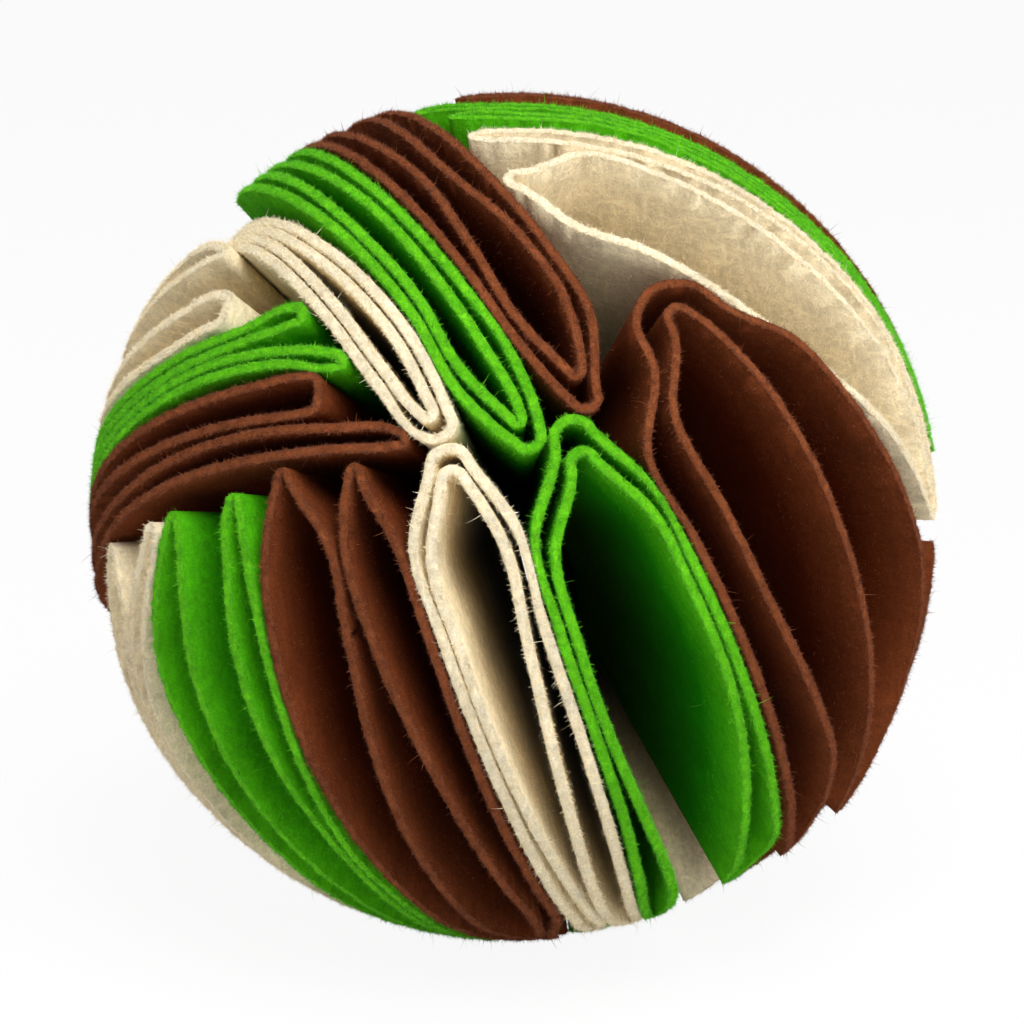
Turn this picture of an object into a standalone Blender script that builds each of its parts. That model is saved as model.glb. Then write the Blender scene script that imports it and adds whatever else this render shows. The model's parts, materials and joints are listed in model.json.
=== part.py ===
# A felt sniffing ball: 24 round discs of felt, each folded twice into a quarter and tied by its
# corner at the middle of the ball, so that the four leaves of each fold fan out to its surface.
# Units are metres. The ball stands on its lowest leaves, and the origin is under its centre.

import math

import bpy
import numpy as np
from mathutils import Matrix, Vector

# Driving dimensions
BALL_RADIUS = 0.075  # each disc's own radius too, because a quarter fold reaches its full radius
FELT_THICKNESS = 0.00172  # at the cut edge; the leaves are pinched together towards the tie
LEAF_GAP = 0.00033  # least space between two leaves at the cut edge
TIE_RADIUS = 0.016  # where the leaves begin, round the tied corners
TIE_THICKNESS = 0.0002  # of a leaf there, where the tie presses the felt flat
FLAT_CUT = 0.0005  # the lowest leaves are flat by this depth where the ball rests
TIP_BACK_DEG = 15.0  # the front of the ball is tipped up by this, as it lies
CORD_RADIUS = 0.0011
CORD_RING_RADIUS = 0.0132  # the cord through the corners of one half's discs
CORD_RING_HEIGHT = 0.0019  # of each ring above or below the ball's centre
KNOT_SIZE = 0.0026  # a third of the joining knot's half width
KNOT_POINTS = 24
RING_SIDES, CORD_SIDES = 32, 8

# Places of the folds' leaves, in degrees from the fold's head towards its tail
STATIONS_DEG = np.array([10.0, 27.0, 45.0, 63.0, 80.0])
LEAF_POINTS = 6  # rim points along one leaf
BEND_POINTS = 5  # rim points round one bend of a fold
BLUNT_POWER = 0.55  # of the sine and cosine round a squarer bend
TIP_SPAN_DEG = 16.0  # length of a leaf over which its tip rises out of the ball
EVEN_SHARE = 0.55  # of a leaf's points are spaced evenly, and the rest gather at its ends
BEND_CLEAR_DEG = 3.0  # a station nearer than this to a bend is left out
GROUND_REACH_DEG = 11.0  # leaves this near the resting point are drawn with closer points
GROUND_STEP_DEG = 4.0
GROUND_MARGIN_DEG = 6.0  # the closer points start and end this much further out
GROUND_CLEAR_DEG = 2.0  # and stay this far from the bends
POINT_CLEAR_DEG = 1.5  # and from the leaf's other points

# The regular folds at the back
INNER_LEAVES = 0.42  # distance aside of the inner leaves, as a share of the outer ones'
OUTER_INNER_BENDS = ((-1, 0, 2.8), (3, 0, 1.6))
SWELL_FROM, SWELL_SPAN = 0.1, 0.82  # the part of a half sine wave that widens a fold in its middle
WAVE_DEG, WAVE_LENGTH_DEG = 0.5, 17.0  # a leaf's own wave, with its start turned by the next two
WAVE_TURN_FOLD, WAVE_TURN_LEAF = 1.9, 1.3

# Settling the leaves against each other, in rounds of small pushes
SETTLE_ROUNDS = 160
NEIGHBOUR_ROUNDS = 10  # between two searches for neighbours
NEIGHBOUR_PITCHES = 3.0  # how far round a leaf's piece its neighbours are looked for
OWN_PITCHES = 1.8  # a rim's own points nearer along it than this aren't its neighbours
PITCH_SPARE = 1.02
PUSH_SHARE = 1.2  # of the mean push that a point takes in one round
SMOOTH_SHARE = 0.8  # of the rounds even out the pushes along the rim
SMOOTH_KEPT = 0.8  # of a point's own shift in doing so, and the rest is its two neighbours'

BALL_CENTRE = Vector((0, 0, BALL_RADIUS - FLAT_CUT))
PITCH_DEG = math.degrees((FELT_THICKNESS + LEAF_GAP) / BALL_RADIUS)
CREASE_DEG = 0.52 * PITCH_DEG  # half width of the sharpest fold, a little over half a pitch

COLOURS = {
    "cream": (0.80, 0.73, 0.58),
    "green": (0.10, 0.55, 0.01),
    "brown": (0.16, 0.045, 0.02),
    "cord": (0.75, 0.70, 0.60),
}

# Each fold: its head and tail in degrees east and north of the middle of the ball's front, which
# end has the nested bends, the bends as (along, aside, half width) and each leaf's distance aside
# at the stations. Twin bends join leaves 1-2 and 3-4, nested ones join 1-4 outside and 2-3 inside.
FOLDS = {
    "front_right_cream": dict(
        head=(-9, 10), tail=(44, -73), nested="head",
        head_bends=((1.2, 0, 2.6), (4.4, 0.3, 1.8)), tail_bends=((88, -1, 0), (91, 4, 0)),
        leaves=((-6, -5.8, -4.4, -3.2, -2.2), (-3.5, -4.2, -2.8, -1, 0),
                (3.7, 4.5, 3.5, 2.7, 2), (5.7, 7.2, 7.8, 7.2, 5.8))),
    "front_right_green": dict(
        head=(6, 12), tail=(70, -63), nested="head",
        head_bends=((0, 0, 2.9), (4.5, 0, 1.8)), tail_bends=((90, -6.5, 0), (87, 5, 0)),
        leaves=((-8.6, -11.1, -10.8, -10.1, -9), (-5.1, -9.3, -8.8, -6.6, -4.8),
                (4, 7, 7.6, 5.9, 4.6), (6.3, 8.7, 9.9, 10.4, 9.6))),
    "front_right_brown": dict(
        head=(23, 30), tail=(77, -45), nested="head",
        head_bends=((-1, -3.4, 7.4), (2.5, -2.8, 1.9)), tail_bends=((94.4, -3.4, 0), (89, 4.4, 0)),
        tips=(0.018, 0.033),
        leaves=((-15.4, -19.5, -18.3, -14.9, -9.5), (-10.3, -13.2, -11.6, -6.5, -1.6),
                (0.5, 2, 2.1, 3.5, 4.6), (7.4, 14.4, 18.3, 19.8, 13))),
    "front_left_brown": dict(
        head=(-25, 7), tail=(18, -81), nested="tail",
        head_bends=((1, -5, 0), (1.5, 5.3, 0)), tail_bends=((91, 0, 4), (87, 1.5, 2)),
        leaves=((-8.5, -9.9, -8.9, -6.9, -5.5), (0.4, 0.7, -0.2, -0.7, -1.2),
                (3, 5.1, 7.3, 7.6, 5.5), (9.6, 12.5, 12.7, 11.6, 8))),
    "front_left_green": dict(
        head=(-42, 1), tail=(-119, -85), nested="tail",
        head_bends=((1.5, -6.3, 0), (-1.7, 4.9, 0)), tail_bends=((88, 2, 3.5), (84.5, 2, 1.5)),
        leaves=((-9.8, -12.3, -6.6, -4.3, -1.5), (-4.6, -4.5, -1.1, 1.5, 1),
                (4.1, 4.9, 7.8, 7.6, 4), (8.3, 10, 9.8, 9.6, 6))),
    "front_left_cream": dict(
        head=(-58, -2), tail=(-160, -80), nested="tail",
        head_bends=((3.5, -7.9, 0), (-1.4, 4.5, 0)), tail_bends=((84, -4, 5), (80, -3.5, 1.8)),
        leaves=((-10, -13.5, -15, -17, -13), (-5, -10.5, -10.5, -10, -6.5),
                (-1, -7.5, -5, -2, -1), (2.5, -4, -1, 1, 1.5))),
    "upper_left_brown": dict(
        head=(-19, 14), tail=(-108, -3), nested="tail",
        head_bends=((6.2, -2.6, 2.7), (-5.6, 4.4, 0.9)), tail_bends=((86, 8, 4), (82, 8, 1.6)), blunt=True,
        leaves=((-4.9, -4.1, -2.3, 0.6, 3.4), (0.2, 0.6, 2, 3.8, 6),
                (2.2, 3, 5.6, 8.4, 9.6), (5.4, 6, 8.2, 12, 12.4))),
    "upper_left_green": dict(
        head=(-25, 24), tail=(-111, -9), nested="tail",
        head_bends=((4, -3.3, 1.3), (-2, 4.6, 1.1)), tail_bends=((82, -3, 4.2), (78, -3, 1.6)), blunt=True,
        leaves=((-3.8, -3.6, -3.8, -5.4, -7), (-1.6, -1.6, -1.8, -3.2, -4.6),
                (1, 0.2, 0.2, -0.9, -1.6), (3.2, 2, 2, 1.4, 1))),
    "upper_left_cream": dict(
        head=(-47, 34), tail=(-122, 8), nested="tail",
        head_bends=((5.6, -3.7, 1), (-1, 7, 2.4)), tail_bends=((84, 7, 4), (80, 7, 1.6)), blunt=True,
        leaves=((-5.8, -2.5, 0, 2, 3), (-2, 1.5, 4, 5.5, 5.6),
                (6.4, 9.5, 10.5, 9.6, 8.4), (12, 13.6, 13.5, 12.4, 11))),
    "upper_middle_cream": dict(
        head=(-8, 8), tail=(-106, 43), nested="head", sunk=(None, 48, 132, 0.08),
        head_bends=((0.8, -1, 2.3), (4.2, -1.8, 1.3)), tail_bends=((90, 5, 0), (90, 1.4, 0)),
        leaves=((1, -0.9, -0.9, 2.2, 5), (-0.9, -2.9, -2.7, 0.2, 3.2),
                (-5, -6.6, -4.7, -1.7, 1.4), (-6.7, -8.3, -6.6, -3.6, -0.5))),
    "upper_middle_green": dict(
        head=(2, 8), tail=(-98, 51), nested="head",
        head_bends=((0, -0.5, 2), (3.2, -1.5, 1.2)), tail_bends=((90, 1.6, 0), (90, -4.5, 0)),
        leaves=((2.9, 0.9, 0.4, 1.8, 2.6), (1.1, -0.8, -1.4, -0.8, 0.2),
                (-3.7, -5.6, -5.9, -4.4, -3), (-5.4, -7.3, -7.7, -7, -6))),
    "upper_middle_brown": dict(
        head=(9, 13), tail=(-105, 62), nested="head",
        head_bends=((-0.4, 0, 2), (4, -1.5, 1.2)), tail_bends=((90, 4, 0), (90, -4, 0)),
        leaves=((4, 4.9, 5.4, 5.8, 5.5), (1.3, 1.7, 1, 2.5, 2),
                (-4.3, -4.5, -1.9, -3, -2.5), (-6.1, -6.5, -6.2, -6, -5.5))),
    "upper_right_cream": dict(
        head=(-7, 51), tail=(81, -2), nested="tail", sunk=(3, 31, 60, 0.04),
        head_bends=((-2, 7.2, 0), (3.6, -3.4, 1.7)), tail_bends=((85, -2, 3.2), (82, -1, 1.2)),
        leaves=((10.1, 11.3, 10.6, 9.2, 3.4), (7, 8.3, 8, 7, 1.6),
                (3.2, 4.5, 3.1, 2.1, -1), (-8.8, -11.2, -10.1, -9.4, -8))),
    "upper_right_green": dict(
        head=(-30, 67), tail=(84, 10), nested="tail",
        head_bends=((-1.8, 2, 0), (3.4, -3.5, 0)), tail_bends=((90, -1, 3), (87.5, -1, 1)),
        leaves=((0.5, 1, -0.4, 0, 1.2), (-1.4, -0.8, -2.2, -1.8, -0.4),
                (-3.6, -2.7, -4, -3.6, -2.1), (-5.5, -4.5, -5.8, -5.3, -3.8))),
    "upper_right_brown": dict(
        head=(-32, 76), tail=(88, 12), nested="tail",
        head_bends=((0, 0.1, 0), (1, 10, 0)), tail_bends=((90, 10, 5), (86, 11, 2)),
        leaves=((-1, -1, -1, 0.6, 2), (2, 3.5, 4.5, 6.5, 8),
                (8.5, 10.5, 12.5, 15, 14.5), (11, 14, 17.5, 21, 19.5))),
    "back_left_brown": dict(
        head=(-171, -2), tail=(64, -87), nested="head",
        head_bends=((-1, 0, 2.8), (3, 0, 1.6)), tail_bends=((89, -3.8, 0), (88, 3.7, 0)),
        leaves=((-7.5, -9.8, -10, -8.3, -5.6), (-3.4, -4.2, -4.2, -3, -1.9),
                (3.4, 4.2, 4.4, 3.2, 1.6), (7.5, 9.8, 10.2, 8.5, 5.6))),
}

# The folds at the back, which repeat one regular shape: head, tail, which end has the nested
# bends, half width and how far the whole fold bows aside, in degrees
BACK_FOLDS = {
    "back_upper_cream": ((-139, 13), (129, 11), "head", 11, -1),
    "back_upper_green": ((-139, 34), (122, 26), "tail", 9.5, 0),
    "back_upper_brown": ((-143, 57), (115, 34), "head", 7.5, 0),
    "back_left_cream": ((-117, -8), (-124, -65), "head", 7, 0),
    "back_left_green": ((-138, -1), (-150, -65), "tail", 7.5, 1),
    "back_right_green": ((161, -4), (94, -80), "tail", 8.5, 1),
    "back_right_cream": ((136, -4), (98, -68), "head", 8, 0),
    "back_right_brown": ((92, -5), (93, -60), "head", 7, -2),
}


def clear_scene():
    """Remove every object, so that only the ball is there."""
    for obj in list(bpy.data.objects):
        bpy.data.objects.remove(obj, do_unlink=True)


def new_collection(name):
    """A collection in the scene."""
    collection = bpy.data.collections.new(name)
    bpy.context.scene.collection.children.link(collection)
    return collection


def felt_material(name):
    """A matt material in one of the colours of the felt and the cord."""
    material = bpy.data.materials.new(name)
    material.use_nodes = True
    shader = material.node_tree.nodes["Principled BSDF"]
    shader.inputs["Base Color"].default_value = (*COLOURS[name], 1)
    shader.inputs["Roughness"].default_value = 0.95
    shader.inputs["Metallic"].default_value = 0.0
    return material


def ball_direction(east, north):
    """The unit vector to a place on the ball, with the ball tipped back as it lies."""
    e, n = math.radians(east), math.radians(north)
    upright = Vector((math.sin(e) * math.cos(n), -math.cos(e) * math.cos(n), math.sin(n)))
    return np.array(Matrix.Rotation(-math.radians(TIP_BACK_DEG), 3, "X") @ upright)


def fold_frame(head, tail):
    """Three unit vectors of a fold: to its head, along it at right angles, and aside."""
    to_head = ball_direction(*head)
    aside = np.cross(to_head, ball_direction(*tail))
    aside /= np.linalg.norm(aside)
    return to_head, np.cross(aside, to_head), aside


def place_on_ball(frame, along_aside):
    """Unit vectors for rows of (along, aside) degrees in a fold's frame."""
    along, aside = np.radians(np.asarray(along_aside, float)).T
    to_head, onward, sideways = frame
    middle = np.outer(np.cos(along), to_head) + np.outer(np.sin(along), onward)
    return np.cos(aside)[:, None] * middle + np.outer(np.sin(aside), sideways)


def bend_points(bend, inward, side, power):
    """A half circle at a fold's end, from the leaf on the given side to the other one.

    A power below 1 gives it the squarer corners of a pinched fold.
    """
    along, aside, half = bend
    half = max(half, CREASE_DEG)
    turn = np.linspace(0, math.pi, BEND_POINTS)
    return np.stack([along + inward * half * (1 - np.sin(turn) ** power),
                     aside + side * half * np.sign(np.cos(turn)) * abs(np.cos(turn)) ** power], axis=1)


def hermite(x, xs, ys):
    """A smooth curve through the points (xs, ys), read at x."""
    slopes = np.gradient(ys, xs)
    i = np.clip(np.searchsorted(xs, x) - 1, 0, len(xs) - 2)
    width = xs[i + 1] - xs[i]
    t = (x - xs[i]) / width
    return ((1 + 2 * t) * (1 - t) ** 2 * ys[i] + t * (1 - t) ** 2 * width * slopes[i]
            + t * t * (3 - 2 * t) * ys[i + 1] + t * t * (t - 1) * width * slopes[i + 1])


def leaf_line(frame, asides, head_end, tail_end):
    """One leaf's rim from the head bend's end to the tail bend's end, without the ends."""
    low, high = head_end[0], tail_end[0]
    kept = (STATIONS_DEG > low + BEND_CLEAR_DEG) & (STATIONS_DEG < high - BEND_CLEAR_DEG)
    xs = np.concatenate([[low], STATIONS_DEG[kept], [high]])
    ys = np.concatenate([[head_end[1]], np.asarray(asides, float)[kept], [tail_end[1]]])
    even = np.arange(1, LEAF_POINTS + 1) / (LEAF_POINTS + 1)
    share = EVEN_SHARE * even + (1 - EVEN_SHARE) * (1 - np.cos(math.pi * even)) / 2
    x = low + (high - low) * share
    points = np.stack([x, hermite(x, xs, ys)], axis=1)
    ground = np.degrees(np.arccos(np.clip(place_on_ball(frame, points) @ (0, 0, -1), -1, 1)))
    if ground.min() < GROUND_REACH_DEG:
        near = x[ground < GROUND_REACH_DEG + GROUND_MARGIN_DEG]
        first = max(near.min() - GROUND_MARGIN_DEG, low + GROUND_CLEAR_DEG)
        last = min(near.max() + GROUND_MARGIN_DEG, high - GROUND_CLEAR_DEG)
        close = np.arange(first, last, GROUND_STEP_DEG)
        close = close[[abs(x - c).min() > POINT_CLEAR_DEG for c in close]]
        x = np.sort(np.concatenate([x, close]))
        points = np.stack([x, hermite(x, xs, ys)], axis=1)
    return points


def fold_rim(head, tail, nested, head_bends, tail_bends, leaves, sunk=None, blunt=False, tips=(0, 0)):
    """The closed rim of one folded disc, as vectors whose lengths are shares of the ball's radius.

    sunk lowers part of one leaf (or of them all) that a neighbour hides: (leaf, from, to, depth).
    blunt makes the head's bends squarer, and tips is how far each tail bend stands out of the ball.
    """
    frame = fold_frame(head, tail)
    pairs = {"nested": ((0, 3), (1, 2)), "twin": ((0, 1), (3, 2))}
    head_pairs = pairs["nested" if nested == "head" else "twin"]
    tail_pairs = pairs["nested" if nested == "tail" else "twin"]
    bends, ends = {}, {}
    for where, these, pairing, station, inward in (("head", head_bends, head_pairs, 0, 1),
                                                   ("tail", tail_bends, tail_pairs, -1, -1)):
        power = BLUNT_POWER if blunt and where == "head" else 1
        for bend, (a, b) in zip(these, pairing):
            side = math.copysign(1, leaves[a][station] - leaves[b][station])
            line = bend_points(bend, inward, side, power)
            bends[where, a, b], bends[where, b, a] = line, line[::-1]
            ends[where, a], ends[where, b] = line[0], line[-1]
    lines = [leaf_line(frame, leaves[k], ends["head", k], ends["tail", k]) for k in range(4)]
    if nested == "head":
        order = (lines[0][::-1], bends["head", 0, 3], lines[3], bends["tail", 3, 2],
                 lines[2][::-1], bends["head", 2, 1], lines[1], bends["tail", 1, 0])
        leaf_of = (0, 0, 3, 3, 2, 2, 1, 1)
    else:
        order = (lines[0][::-1], bends["head", 0, 1], lines[1], bends["tail", 1, 2],
                 lines[2][::-1], bends["head", 2, 3], lines[3], bends["tail", 3, 0])
        leaf_of = (0, 0, 1, 1, 2, 2, 3, 3)
    along = np.concatenate(order)[:, 0]
    tip_of = {k: number for number, pair in enumerate(tail_pairs) for k in pair}
    number = np.repeat([tip_of[k] for k in leaf_of], [len(line) for line in order])
    end = np.array([bend[0] for bend in tail_bends])[number]
    share = np.clip((along - end) / TIP_SPAN_DEG + 1, 0, 1)
    reach = 1 + np.array(tips)[number] * share * share * (3 - 2 * share)
    if sunk:
        leaf, low, high, depth = sunk
        dip = depth * np.sqrt(np.sin(np.pi * np.clip((along - low) / (high - low), 0, 1)))
        if leaf is not None:
            dip *= np.concatenate([np.full(len(line), line is lines[leaf]) for line in order])
        reach -= dip
    return reach[:, None] * place_on_ball(frame, np.concatenate(order))


def back_fold(index, head, tail, nested, half, bow):
    """A fold of the regular shape, with a small wave of its own in each leaf."""
    end = math.degrees(math.acos(np.dot(ball_direction(*head), ball_direction(*tail))))
    share = np.clip(STATIONS_DEG / end, 0, 1)
    swell = np.sqrt(np.sin(math.pi * (SWELL_FROM + SWELL_SPAN * share)))
    bowed = bow * np.sin(math.pi * share)
    turns = [WAVE_TURN_FOLD * index + WAVE_TURN_LEAF * k for k in range(4)]
    waves = [WAVE_DEG * np.sin(STATIONS_DEG / WAVE_LENGTH_DEG + turn) for turn in turns]
    asides = (-1, -INNER_LEAVES, INNER_LEAVES, 1)
    leaves = [half * aside * swell + wave + bowed for aside, wave in zip(asides, waves)]
    twin = ((0, -0.5 * half, 0), (-1, 0.5 * half, 0))
    if nested == "head":
        tail_bends = tuple((end + a, o, w) for a, o, w in twin)
        return dict(head=head, tail=tail, nested=nested, leaves=leaves,
                    head_bends=OUTER_INNER_BENDS, tail_bends=tail_bends)
    tail_bends = tuple((end - a, o, w) for a, o, w in OUTER_INNER_BENDS)
    return dict(head=head, tail=tail, nested=nested, leaves=leaves,
                head_bends=twin, tail_bends=tail_bends)


def settle(rims):
    """Push leaves that lie closer than one pitch apart, a little at a time, along the ball."""
    counts = [len(r) for r in rims]
    points = np.concatenate(rims)
    reach = np.linalg.norm(points, axis=1)[:, None]
    points = points / reach
    start = points.copy()
    owner = np.repeat(np.arange(len(rims)), counts)
    first = np.repeat(np.cumsum([0] + counts[:-1]), counts)
    size = np.repeat(counts, counts)
    index = np.arange(len(points))
    following = first + (index - first + 1) % size
    before = first + (index - first - 1) % size
    pitch = math.radians(PITCH_DEG) * PITCH_SPARE
    steps = np.linalg.norm(points[following] - points, axis=1)
    along = np.concatenate([np.cumsum(steps[owner == k]) - steps[owner == k] for k in range(len(rims))])
    length = np.repeat([steps[owner == k].sum() for k in range(len(rims))], counts)
    for turn in range(SETTLE_ROUNDS):
        if turn % NEIGHBOUR_ROUNDS == 0:
            middle = (points + points[following]) / 2
            window = steps / 2 + NEIGHBOUR_PITCHES * pitch
            far = np.linalg.norm(points[:, None] - middle[None], axis=2) > window[None]
            back = abs(along[:, None] - along[None] - steps[None] / 2)
            back = np.minimum(back, length[:, None] - back) - steps[None] / 2
            same = (owner[:, None] == owner[None]) & (back < OWN_PITCHES * pitch)
            i, j = np.nonzero(~far & ~same)
        a, b = points[j], points[following[j]]
        d = b - a
        t = np.clip(((points[i] - a) * d).sum(1) / (d * d).sum(1), 0, 1)[:, None]
        apart = points[i] - (a + t * d)
        distance = np.linalg.norm(apart, axis=1)
        short = np.clip(pitch - distance, 0, None)
        if not short.any():
            break
        push = (0.5 * short / np.maximum(distance, 1e-9))[:, None] * apart
        moved, weight = np.zeros_like(points), np.full(len(points), 1e-9)
        for target, part in ((i, push), (j, -push * (1 - t)), (following[j], -push * t)):
            np.add.at(moved, target, part)
            np.add.at(weight, target, (short > 0).astype(float))
        points = points + moved / np.maximum(weight, 1)[:, None] * PUSH_SHARE
        if turn < SETTLE_ROUNDS * SMOOTH_SHARE:
            shift = points - start
            beside = (shift[before] + shift[following]) / 2
            points = start + SMOOTH_KEPT * shift + (1 - SMOOTH_KEPT) * beside
        points /= np.linalg.norm(points, axis=1)[:, None]
        steps = np.linalg.norm(points[following] - points, axis=1)
    return np.split(points * reach, np.cumsum(counts)[:-1])


def all_rims():
    """Every folded disc's rim by name, settled against its neighbours."""
    folds = dict(FOLDS)
    for index, (name, shape) in enumerate(BACK_FOLDS.items()):
        folds[name] = back_fold(index, *shape)
    rims = [fold_rim(**fold) for fold in folds.values()]
    return dict(zip(folds, settle(rims)))


def felt_disc(name, rim, material, collection):
    """One folded disc: a strip ruled from the tie to the rim, and given the felt's thickness."""
    count = len(rim)
    inner = rim / np.linalg.norm(rim, axis=1)[:, None] * TIE_RADIUS
    outer = rim * BALL_RADIUS
    k = np.arange(count)
    following = (k + 1) % count
    faces = np.stack([k, following, following + count, k + count], axis=1)
    mesh = bpy.data.meshes.new(name)
    mesh.from_pydata(np.concatenate([inner, outer]).tolist(), [], faces.tolist())
    mesh.materials.append(material)
    obj = bpy.data.objects.new(name, mesh)
    obj.location = BALL_CENTRE
    collection.objects.link(obj)
    edge = obj.vertex_groups.new(name="cut edge")
    edge.add((k + count).tolist(), 1.0, "REPLACE")
    solid = obj.modifiers.new("Felt", "SOLIDIFY")
    solid.thickness = FELT_THICKNESS
    solid.offset = 0.0
    solid.use_even_offset = True
    solid.vertex_group = edge.name
    solid.thickness_vertex_group = TIE_THICKNESS / FELT_THICKNESS
    return obj


def cut_flat(obj, cutter):
    """Where the ball rests on a disc, its leaves are flat at z = 0."""
    cut = obj.modifiers.new("Resting flat", "BOOLEAN")
    cut.operation = "DIFFERENCE"
    cut.solver = "EXACT"
    cut.object = cutter


def ground_cutter(collection):
    """A box whose top is the surface the ball rests on."""
    bpy.ops.mesh.primitive_cube_add(size=4 * BALL_RADIUS, location=(0, 0, -2 * BALL_RADIUS))
    cutter = bpy.context.object
    cutter.name = "ground_cutter"
    cutter.display_type = "WIRE"
    cutter.hide_render = True
    for holder in list(cutter.users_collection):
        holder.objects.unlink(cutter)
    collection.objects.link(cutter)
    return cutter


def tie_cord(name, height, material, collection):
    """A ring of cord round the tied corners, in a plane along the seam between the halves."""
    bpy.ops.mesh.primitive_torus_add(major_radius=CORD_RING_RADIUS, minor_radius=CORD_RADIUS,
                                     major_segments=RING_SIDES, minor_segments=CORD_SIDES)
    ring = bpy.context.object
    ring.name = name
    ring.data.materials.append(material)
    tip = Matrix.Rotation(-math.radians(TIP_BACK_DEG), 3, "X")
    ring.rotation_euler = tip.to_euler()
    ring.location = BALL_CENTRE + tip @ Vector((0, 0, height))
    for holder in list(ring.users_collection):
        holder.objects.unlink(ring)
    collection.objects.link(ring)
    return ring


def joining_knot(material, collection):
    """The knot that joins both cords, a cord that runs as a closed overhand knot."""
    curve = bpy.data.curves.new("joining_knot", "CURVE")
    curve.dimensions = "3D"
    curve.bevel_depth = CORD_RADIUS
    curve.bevel_resolution = 1
    curve.resolution_u = 2
    line = curve.splines.new("NURBS")
    line.points.add(KNOT_POINTS - 1)
    for i, point in enumerate(line.points):
        t = 2 * math.pi * i / KNOT_POINTS
        point.co = (KNOT_SIZE * (math.sin(t) + 2 * math.sin(2 * t)),
                    KNOT_SIZE * (math.cos(t) - 2 * math.cos(2 * t)),
                    -KNOT_SIZE * math.sin(3 * t), 1)
    line.use_cyclic_u = True
    line.order_u = 4
    curve.materials.append(material)
    knot = bpy.data.objects.new("joining_knot", curve)
    knot.location = BALL_CENTRE
    collection.objects.link(knot)
    return knot


def main():
    clear_scene()
    ball = new_collection("sniffing_ball")
    cutters = new_collection("cutters")
    materials = {colour: felt_material(colour) for colour in COLOURS}
    cutter = ground_cutter(cutters)
    for name, rim in all_rims().items():
        disc = felt_disc(name, rim, materials[name.split("_")[-1]], ball)
        if BALL_CENTRE.z + (rim[:, 2] * BALL_RADIUS).min() < FLAT_CUT:
            cut_flat(disc, cutter)
    tie_cord("upper_tie_cord", CORD_RING_HEIGHT, materials["cord"], ball)
    tie_cord("lower_tie_cord", -CORD_RING_HEIGHT, materials["cord"], ball)
    joining_knot(materials["cord"], ball)


main()
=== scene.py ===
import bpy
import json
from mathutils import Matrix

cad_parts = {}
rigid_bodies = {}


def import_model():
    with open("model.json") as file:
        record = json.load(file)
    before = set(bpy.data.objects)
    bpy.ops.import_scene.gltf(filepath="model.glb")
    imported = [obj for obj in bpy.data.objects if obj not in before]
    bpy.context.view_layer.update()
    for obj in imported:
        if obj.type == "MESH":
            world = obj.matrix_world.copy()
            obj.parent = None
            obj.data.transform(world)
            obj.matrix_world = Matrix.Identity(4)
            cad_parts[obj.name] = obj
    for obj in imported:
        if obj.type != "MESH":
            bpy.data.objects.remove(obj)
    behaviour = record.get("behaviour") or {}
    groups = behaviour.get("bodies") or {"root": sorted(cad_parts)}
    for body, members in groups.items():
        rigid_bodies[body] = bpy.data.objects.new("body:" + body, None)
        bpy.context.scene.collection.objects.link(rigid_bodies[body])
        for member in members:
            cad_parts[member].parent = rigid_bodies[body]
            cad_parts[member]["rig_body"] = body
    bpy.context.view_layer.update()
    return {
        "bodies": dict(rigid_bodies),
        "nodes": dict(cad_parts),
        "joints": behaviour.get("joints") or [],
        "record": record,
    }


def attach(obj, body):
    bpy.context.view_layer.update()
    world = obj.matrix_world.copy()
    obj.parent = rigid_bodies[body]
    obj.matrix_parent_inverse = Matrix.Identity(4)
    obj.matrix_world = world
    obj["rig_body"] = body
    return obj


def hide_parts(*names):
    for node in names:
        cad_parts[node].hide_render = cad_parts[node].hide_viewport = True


bl_info = {
    "name": "Felt Sniffing Ball",
    "version": (1, 0, 0),
    "blender": (4, 5, 0),
    "location": "View3D > Sidebar > Sniffing Ball",
    "description": "Dresses a felt sniffing ball's folded discs, ties and studio",
    "category": "Object",
}

import json
import math

import bpy
import numpy as np
from mathutils import Matrix, Vector

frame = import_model()

# The ball as it is made, in metres
BALL_RADIUS = 0.075
FLAT_CUT = 0.0005
TIP_BACK_DEG = 15.0
TIE_RADIUS = 0.0152
TIE_HALF = 0.00009
LEAF_PITCH = 0.00205
PITCH_DEG = math.degrees(LEAF_PITCH / BALL_RADIUS)
CREASE_DEG = 0.5 * PITCH_DEG * 1.04
BALL_CENTRE = np.array([0.0, 0.0, BALL_RADIUS - FLAT_CUT])
TAU = 2 * math.pi

FINE_STEP_DEG = 0.62  # between the points of a smooth rim
FACE_ROWS, EDGE_ROWS = 12, 8  # of the felt's section: up each face, and round the cut edge
FELT_CLEARANCE = 0.00008  # kept from the felt's face to the middle of the space beside it
RIM_WRAP = 3  # points repeated at each end of a closed rim
LEAST_PARTS = 3  # smooth steps between two points of a plain rim
FLOOR_HALF = 4.0
FLOOR_WHITE = 0.93  # of the floor's picture is plain white, and the rest keeps the shadow
FLOOR_COLOUR = 0.86, 0.86, 0.86, 1
KEY_PLACE, LEFT_PLACE, RIGHT_PLACE = (0.16, -0.6, 1.0), (-0.95, -0.35, 0.45), (0.95, -0.35, 0.45)
KEY_SIZE, SIDE_SIZE = 0.7, 0.6
SENSOR_MM = 36.0
PHOTO_SIZE_PX = 1024
PHOTO_RADIUS_PX = 424.0
PHOTO_CENTRE_PX = (2.5, 4.5)  # the ball's centre, right of and below the photograph's middle
SHEEN = {"cream": 0.15, "green": 0.12, "brown": 0.15}
FACE_CONTRAST = {"cream": 0.2, "green": 0.26, "brown": 0.34}  # of the felt's fine mottle
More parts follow.
